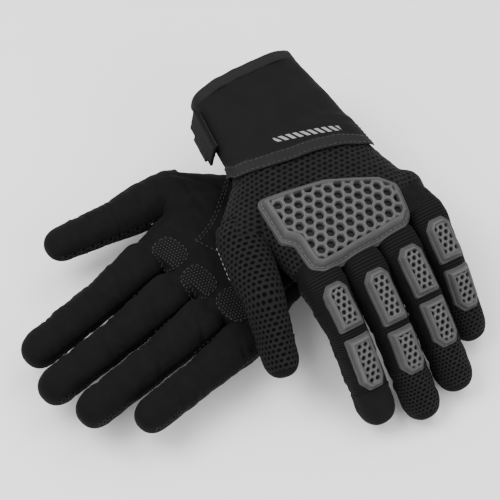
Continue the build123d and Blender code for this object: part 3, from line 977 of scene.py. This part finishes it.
def relief_guard(name, axes, side, corners, rounding, base_height, body, node, body_height, pitch, hole,
                 flange=2.6, spacing=0.42, margin=1.2, hole_depth=4.0, wall=1.5):
    """A moulded guard as a fine relief over the surface below: flange, stitched groove, wall and holes."""
    corners = np.array(corners, float)
    low, high = corners.min(0) - margin, corners.max(0) + margin
    xs = np.arange(low[0], high[0] + spacing, spacing)
    ys = np.arange(low[1], high[1] + spacing, spacing)
    x, y = np.meshgrid(xs, ys)
    away = outline_distance(x, y, rounded(corners, rounding))
    inset = -away
    height = 3.4 * smooth((inset + 0.6) / 0.9) - 2.6
    height -= 0.55 * smooth((inset - flange * 0.45) / 0.4) * smooth((flange - inset) / 0.4)
    height += body_height * smooth((inset - flange) / 1.5)
    height -= 0.9 * smooth((inset - flange - wall - 1.0) / 0.9)
    cell = hex_holes(x, y - ys.mean(), pitch, hole)
    room = smooth((inset - flange - wall - 1.4) / 0.8)
    pit = smooth((cell + 0.25) / 0.75) * room
    height -= hole_depth * pit
    # mask of the painted highlight: the rims of the holes and the top of the wall
    edge = bump(cell, -0.35, 0.35) * room + bump(inset, flange + 1.0, 0.5)
    base = base_height(x, y)
    local = np.dstack([side * x, y, base + height])
    keep = inset > -0.45
    faces = []
    columns = len(xs)
    for i in range(len(ys) - 1):
        row_keep = keep[i, :-1] | keep[i, 1:] | keep[i + 1, :-1] | keep[i + 1, 1:]
        for j in np.nonzero(row_keep)[0]:
            quad = (i * columns + j, i * columns + j + 1, (i + 1) * columns + j + 1, (i + 1) * columns + j)
            faces.append(quad if side > 0 else quad[::-1])
    points = axes.row(local.reshape(-1, 3))
    # relief holds the mask of the painted shade in the holes and the mask of the painted highlight on the edges
    relief = np.dstack([1 - pit * 1.2, np.clip(edge, 0, 1) * (1 - pit), np.zeros_like(x)])
    cloth = np.dstack([x, y, height])
    obj = make_object(name, points, faces, [MAT["guard"]],
                      attributes={"relief": relief.reshape(-1, 3), "cloth": cloth.reshape(-1, 3)})
    drop_loose(obj)
    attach(obj, body)
    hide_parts(node)
    return obj


def drop_loose(obj):
    """Remove vertices that no face uses."""
    work = bmesh.new()
    work.from_mesh(obj.data)
    loose = [v for v in work.verts if not v.link_faces]
    bmesh.ops.delete(work, geom=loose, context="VERTS")
    work.to_mesh(obj.data)
    work.free()


def surface_height(objects, axes, side, across, along, pitch=2.0, rounds=3):
    """A function that gives the skin's height over a plane, filled out and evened."""
    points, faces = [], []
    for obj in objects:
        offset = len(points)
        points += [tuple(p) for p in vertices_mm(obj)]
        faces += [tuple(i + offset for i in polygon.vertices) for polygon in obj.data.polygons]
    tree = BVHTree.FromPolygons(points, faces)
    down = Vector(-axes.z)
    xs = np.arange(across[0], across[1] + pitch, pitch)
    ys = np.arange(along[0], along[1] + pitch, pitch)
    coarse = np.zeros((len(ys), len(xs)))
    for i, yy in enumerate(ys):
        for j, xx in enumerate(xs):
            hit = tree.ray_cast(Vector(axes.row((side * xx, yy, 60.0))), down, 200)[0]
            coarse[i, j] = 0 if hit is None else axes.local(np.array(hit))[2]
    filled = coarse.copy()
    for shift_i in (-1, 0, 1):
        for shift_j in (-1, 0, 1):
            filled = np.maximum(filled, np.roll(np.roll(coarse, shift_i, 0), shift_j, 1))
    for _ in range(rounds):
        inner = filled.copy()
        inner[1:-1, 1:-1] = (filled[:-2, 1:-1] + filled[2:, 1:-1] + filled[1:-1, :-2] + filled[1:-1, 2:]) / 4
        filled = inner

    def height(x, y):
        fi = np.clip((y - ys[0]) / pitch, 0, len(ys) - 1.001)
        fj = np.clip((x - xs[0]) / pitch, 0, len(xs) - 1.001)
        i, j = fi.astype(int), fj.astype(int)
        a, b = fi - i, fj - j
        near = filled[i, j] * (1 - b) + filled[i, j + 1] * b
        far = filled[i + 1, j] * (1 - b) + filled[i + 1, j + 1] * b
        return near * (1 - a) + far * a

    return height


def knuckle_guard(glove, skins):
    """The knuckle guard: a honeycomb panel with a raised rim and a stitched flange."""
    hand = hand_axes(glove)
    side = THUMB_SIDE[glove]
    height = surface_height(skins, hand, side, (-60, 60), (26, 100))
    relief_guard(f"{glove}_knuckle_guard_moulding", hand, side, GUARD_OUTLINE, 5, height,
                 f"{glove}_hand", f"{glove}_knuckle_guard", 5.8, 7.2, 2.6)
    outline = rounded(GUARD_OUTLINE, 5)
    line = []
    for a in np.linspace(0, 2 * math.pi, 241):
        low, high = 5.0, 90.0
        for _ in range(30):
            middle = (low + high) / 2
            x, y = np.array([2 + middle * math.cos(a)]), np.array([66 + middle * math.sin(a)])
            if outline_distance(x, y, outline)[0] < -1.9:
                low = middle
            else:
                high = middle
        line.append((side * x[0], y[0], height(x, y)[0] + 0.7))
    line = hand.row(np.array(line))
    thread = stitches(f"{glove}_guard_thread", [(line, np.tile(hand.z, (len(line), 1)))], MAT["guard_thread"])
    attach(thread, f"{glove}_hand")


def finger_guards(digit, finger, skins):
    """Two guards on a finger, one on each side of the groove over its middle joint."""
    glove = digit.glove
    side = THUMB_SIDE[glove]
    for part, axes, start, end in (("base", digit.base, 3.0, digit.length - 0.9),
                                   ("tip", digit.tip, 0.9, TIP_GUARD[finger] + 1.5)):
        half = 8.6
        if part == "base":
            corners = ((half, end), (half, start + 5), (half - 4, start), (-half + 4, start),
                       (-half, start + 5), (-half, end))
        else:
            corners = ((half, start), (half, end - 6), (half - 4, end), (-half + 4, end), (-half, end - 6),
                       (-half, start))
        height = surface_height(skins, axes, side, (-13, 13), (start - 6, end + 6), 1.0, 2)
        relief_guard(f"{digit.name}_{part}_guard_moulding", axes, side, corners, 2.0, height,
                     f"{digit.name}_{part}", f"{digit.name}_{part}_guard", 3.0, 4.3, 1.35,
                     flange=1.5, spacing=0.36, hole_depth=2.6, wall=0.9)


# ---------------------------------------------------------------- cuff
def cuff_front(angle):
    """How far along the cuff reaches over the hand: a slanted edge on the back, straight on the palm."""
    across = np.cos(angle)
    on_back = smooth((np.sin(angle) + 0.2) / 0.6)
    return on_back * (20 - 12 * across) + (1 - on_back) * 1.0


def cleared(ring, tree, hand, side, room):
    """Push points of a ring out past the skin under them, in the glove's own frame."""
    reaches = np.zeros(len(ring))
    for k, (x, y, z) in enumerate(ring):
        radius = math.hypot(x, z)
        out = np.array((side * x / radius, 0, z / radius))
        start = hand.row(np.array((0, y, 0)) + out * 90)
        hit = tree.ray_cast(Vector(start), Vector(hand.row(-out) - hand.origin))[0]
        if hit is not None:
            reaches[k] = float(hand.local(np.array(hit)) @ out)
    reaches = np.max([np.roll(reaches, k) for k in (-1, 0, 1)], axis=0)
    radius = np.hypot(ring[:, 0], ring[:, 2])
    grow = np.maximum(1, (reaches + room) / radius)
    ring[:, 0] *= grow
    ring[:, 2] *= grow
    return ring


def cuff_skin(glove, skin):
    """Cuff: an outer face with a raised front strip, and a lining, joined at the bound edge."""
    hand = hand_axes(glove)
    side = THUMB_SIDE[glove]
    count = 140
    angle = np.linspace(0, 2 * math.pi, count, endpoint=False)
    front = cuff_front(angle)
    end = float(CUFF_END)
    share = np.concatenate([[0, 0.004, 0.02], np.linspace(0.04, 1, 60)])
    keys = np.array([*CUFF_SECTIONS[:-1], *HAND_SECTIONS[1:]], float)
    order = np.argsort(keys[:, 0])
    keys = keys[order]
    tree = BVHTree.FromPolygons([tuple(p) for p in vertices_mm(skin)],
                                [tuple(f.vertices) for f in skin.data.polygons])
    outer = []
    for t in share:
        y = front + (end - front) * t
        ring = np.zeros((count, 3))
        strip = 1.0 * smooth((8.5 - (front - y)) / 0.8)
        hem = -0.9 * (t < 0.001)
        for j in range(count):
            centre, width, thick = (smooth_interp(y[j], keys[:, 0], keys[:, k]) for k in (1, 2, 3))
            grow = 0.7 + strip[j] + hem
            c, s = math.cos(angle[j]), math.sin(angle[j])
            power = 2.7
            ring[j, 0] = centre + (width / 2 + grow) * math.copysign(abs(c) ** (2 / power), c)
            ring[j, 2] = (thick / 2 + grow) * math.copysign(abs(s) ** (2 / power), s)
            ring[j, 1] = y[j]
        soft = 0.5 * ripple(ring[:, 0], ring[:, 1], 3) * smooth((front - y - 9) / 8)
        ring[:, 2] += soft * np.sign(np.sin(angle))
        if t < 0.5:
            ring = cleared(ring, tree, hand, side, 0.4 + strip + 0.6 * (t > 0.001))
        outer.append(ring)
    outer = np.array(outer)
    lining = []
    for t in np.linspace(1, 0.35, 14):
        k = int(round(t * (len(share) - 1)))
        ring = outer[k].copy()
        ring[:, 0] -= 2.4 * np.cos(angle)
        ring[:, 2] -= 2.4 * np.sin(angle)
        lining.append(ring)
    rings = np.concatenate([outer, np.array(lining)])
    rows = len(rings)
    local = rings.copy()
    local[:, :, 0] *= side
    faces = grid_faces(rows, count, True, flip=side < 0)
    slots = []
    for i in range(rows - 1):
        for j in range(count):
            if i >= len(share) - 1:
                slots.append(1)
            else:
                reach = (front[j] - end) * share[i]
                slots.append(2 if reach < 8.0 else 0)
    obj = make_object(f"{glove}_cuff_skin", hand.row(local.reshape(-1, 3)), faces,
                      [MAT["neoprene"], MAT["plain"], MAT["tape"]], slots, {"cloth": rings.reshape(-1, 3)})
    start = hand.row((0, 2, 0)) * MM
    finish = hand.row((0, -15, 0)) * MM
    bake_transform(obj)
    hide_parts(f"{glove}_cuff_shell")
    binding(glove, hand, side, outer[-1])
    cuff_thread(glove, hand, side, outer, share, front, end)
    return obj


def cuff_thread(glove, hand, side, outer, share, front, end):
    """Sewn lines along both edges of the front strip."""
    lines = []
    for distance in (1.3, 7.3):
        line, out = [], []
        for j in range(outer.shape[1] + 1):
            k = j % outer.shape[1]
            t = distance / (front[k] - end)
            point = np.array([np.interp(t, share, outer[:, k, c]) for c in range(3)])
            away = point - (0, point[1], 0)
            line.append(point * (side, 1, 1))
            out.append(away * (side, 1, 1) / np.linalg.norm(away))
        out = np.array(out)
        lines.append((hand.row(np.array(line)), out @ np.array([hand.x, hand.y, hand.z])))
    obj = stitches(f"{glove}_strip_thread", lines, MAT["suede_thread"])
    hand.row((0, 2, 0)) * MM
    hand.row((0, -15, 0)) * MM
    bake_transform(obj)


def binding(glove, hand, side, ring):
    """Woven tape folded over the cuff's open edge."""
    count = len(ring)
    angle = np.linspace(0, 2 * math.pi, count, endpoint=False)
    outward = np.column_stack([np.cos(angle), np.zeros(count), np.sin(angle)])
    profile = []
    for t in np.linspace(0, math.pi, 13):
        profile.append((-1.2 + 1.75 * math.cos(t), -1.4 - 1.5 * math.sin(t)))
    shape = [(0.25, 5.0), (0.62, 4.8), (0.6, 0.0), *profile, (-2.95, 0.0), (-2.9, 4.8), (-2.5, 5.0)]
    rings = np.array([ring + outward * across + np.array([0, along + 0.4, 0]) for across, along in shape])
    local = rings.copy()
    local[:, :, 0] *= side
    steps = np.linalg.norm(np.diff(np.vstack([ring, ring[:1]]), axis=0), axis=1)
    around = np.concatenate([[0], np.cumsum(steps)[:-1]])
    cloth = np.dstack([np.broadcast_to(around, (len(shape), count)),
                       np.broadcast_to(np.arange(len(shape))[:, None] * 0.9, (len(shape), count)),
                       np.zeros((len(shape), count))])
    obj = make_object(f"{glove}_binding_tape", hand.row(local.reshape(-1, 3)),
                      grid_faces(len(shape), count, True, flip=side < 0), [MAT["tape"]],
                      attributes={"cloth": cloth.reshape(-1, 3)})
    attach(obj, f"{glove}_cuff")
    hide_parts(f"{glove}_cuff_binding")


# ---------------------------------------------------------------- stage
def studio():
    """Pale floor, soft lights and the camera."""
    scene = bpy.context.scene
    floor = make_object("floor", [(-3000, -3000, 0), (3000, -3000, 0), (3000, 3000, 0), (-3000, 3000, 0)],
                        [(0, 1, 2, 3)], [floor_material()])
    world = bpy.data.worlds.new("studio")
    scene.world = world
    world.use_nodes = True
    world.node_tree.nodes["Background"].inputs["Color"].default_value = (1, 1, 1, 1)
    world.node_tree.nodes["Background"].inputs["Strength"].default_value = 1.0
    area_light("key", (-0.35, -0.35, 0.9), 0.6, 11.0)
    area_light("fill", (0.8, 0.2, 0.7), 0.8, 5.0)
    area_light("top", (0.0, 0.5, 1.1), 0.7, 6.0)
    camera()


def floor_material():
    n = Nodes("floor")
    n.shader.inputs["Base Color"].default_value = (0.90, 0.90, 0.905, 1)
    n.shader.inputs["Roughness"].default_value = 0.9
    return n.material


def area_light(name, place, size, watts):
    data = bpy.data.lights.new(name, "AREA")
    data.size = size
    data.energy = watts
    obj = bpy.data.objects.new(name, data)
    bpy.context.scene.collection.objects.link(obj)
    obj.location = place
    obj.rotation_euler = (-Vector(place)).to_track_quat("-Z", "Y").to_euler()


def camera():
    """A long lens from the photo's side of the pair."""
    azimuth, elevation, distance = math.radians(45), math.radians(60), 1.3
    target = Vector((-0.0293, 0.0275, 0.0329))
    back = Vector((math.sin(azimuth) * math.cos(elevation), -math.cos(azimuth) * math.cos(elevation),
                   math.sin(elevation)))
    data = bpy.data.cameras.new("camera")
    data.sensor_width = 36
    data.lens = 36 * distance / (500 * 0.63 * MM)
    obj = bpy.data.objects.new("camera", data)
    bpy.context.scene.collection.objects.link(obj)
    obj.location = target + back * distance
    obj.rotation_euler = (-back).to_track_quat("-Z", "Y").to_euler()
    bpy.context.scene.camera = obj


def build():
    studio()
    for glove in GLOVES:
        skin = hand_skin(glove)
        skins = [skin]
        palm_thread(glove, skin)
        for finger in FINGERS:
            digit, pieces = digit_skin(glove, finger)
            finger_guards(digit, finger, list(pieces.values()))
            skins += pieces.values()
        knuckle_guard(glove, skins)
        digit_skin(glove, "thumb")
        cuff_skin(glove, skin)
        soft_copy(f"{glove}_closure_flap", f"{glove}_flap_cloth", f"{glove}_flap", MAT["neoprene_plain"])
        soft_copy(f"{glove}_hook_patch", f"{glove}_hook_cloth", f"{glove}_flap", MAT["pile"])
        soft_copy(f"{glove}_loop_patch", f"{glove}_loop_cloth", f"{glove}_cuff", MAT["pile"])
        soft_copy(f"{glove}_pull_tab", f"{glove}_tab_cloth", f"{glove}_flap", MAT["tape"])


build()
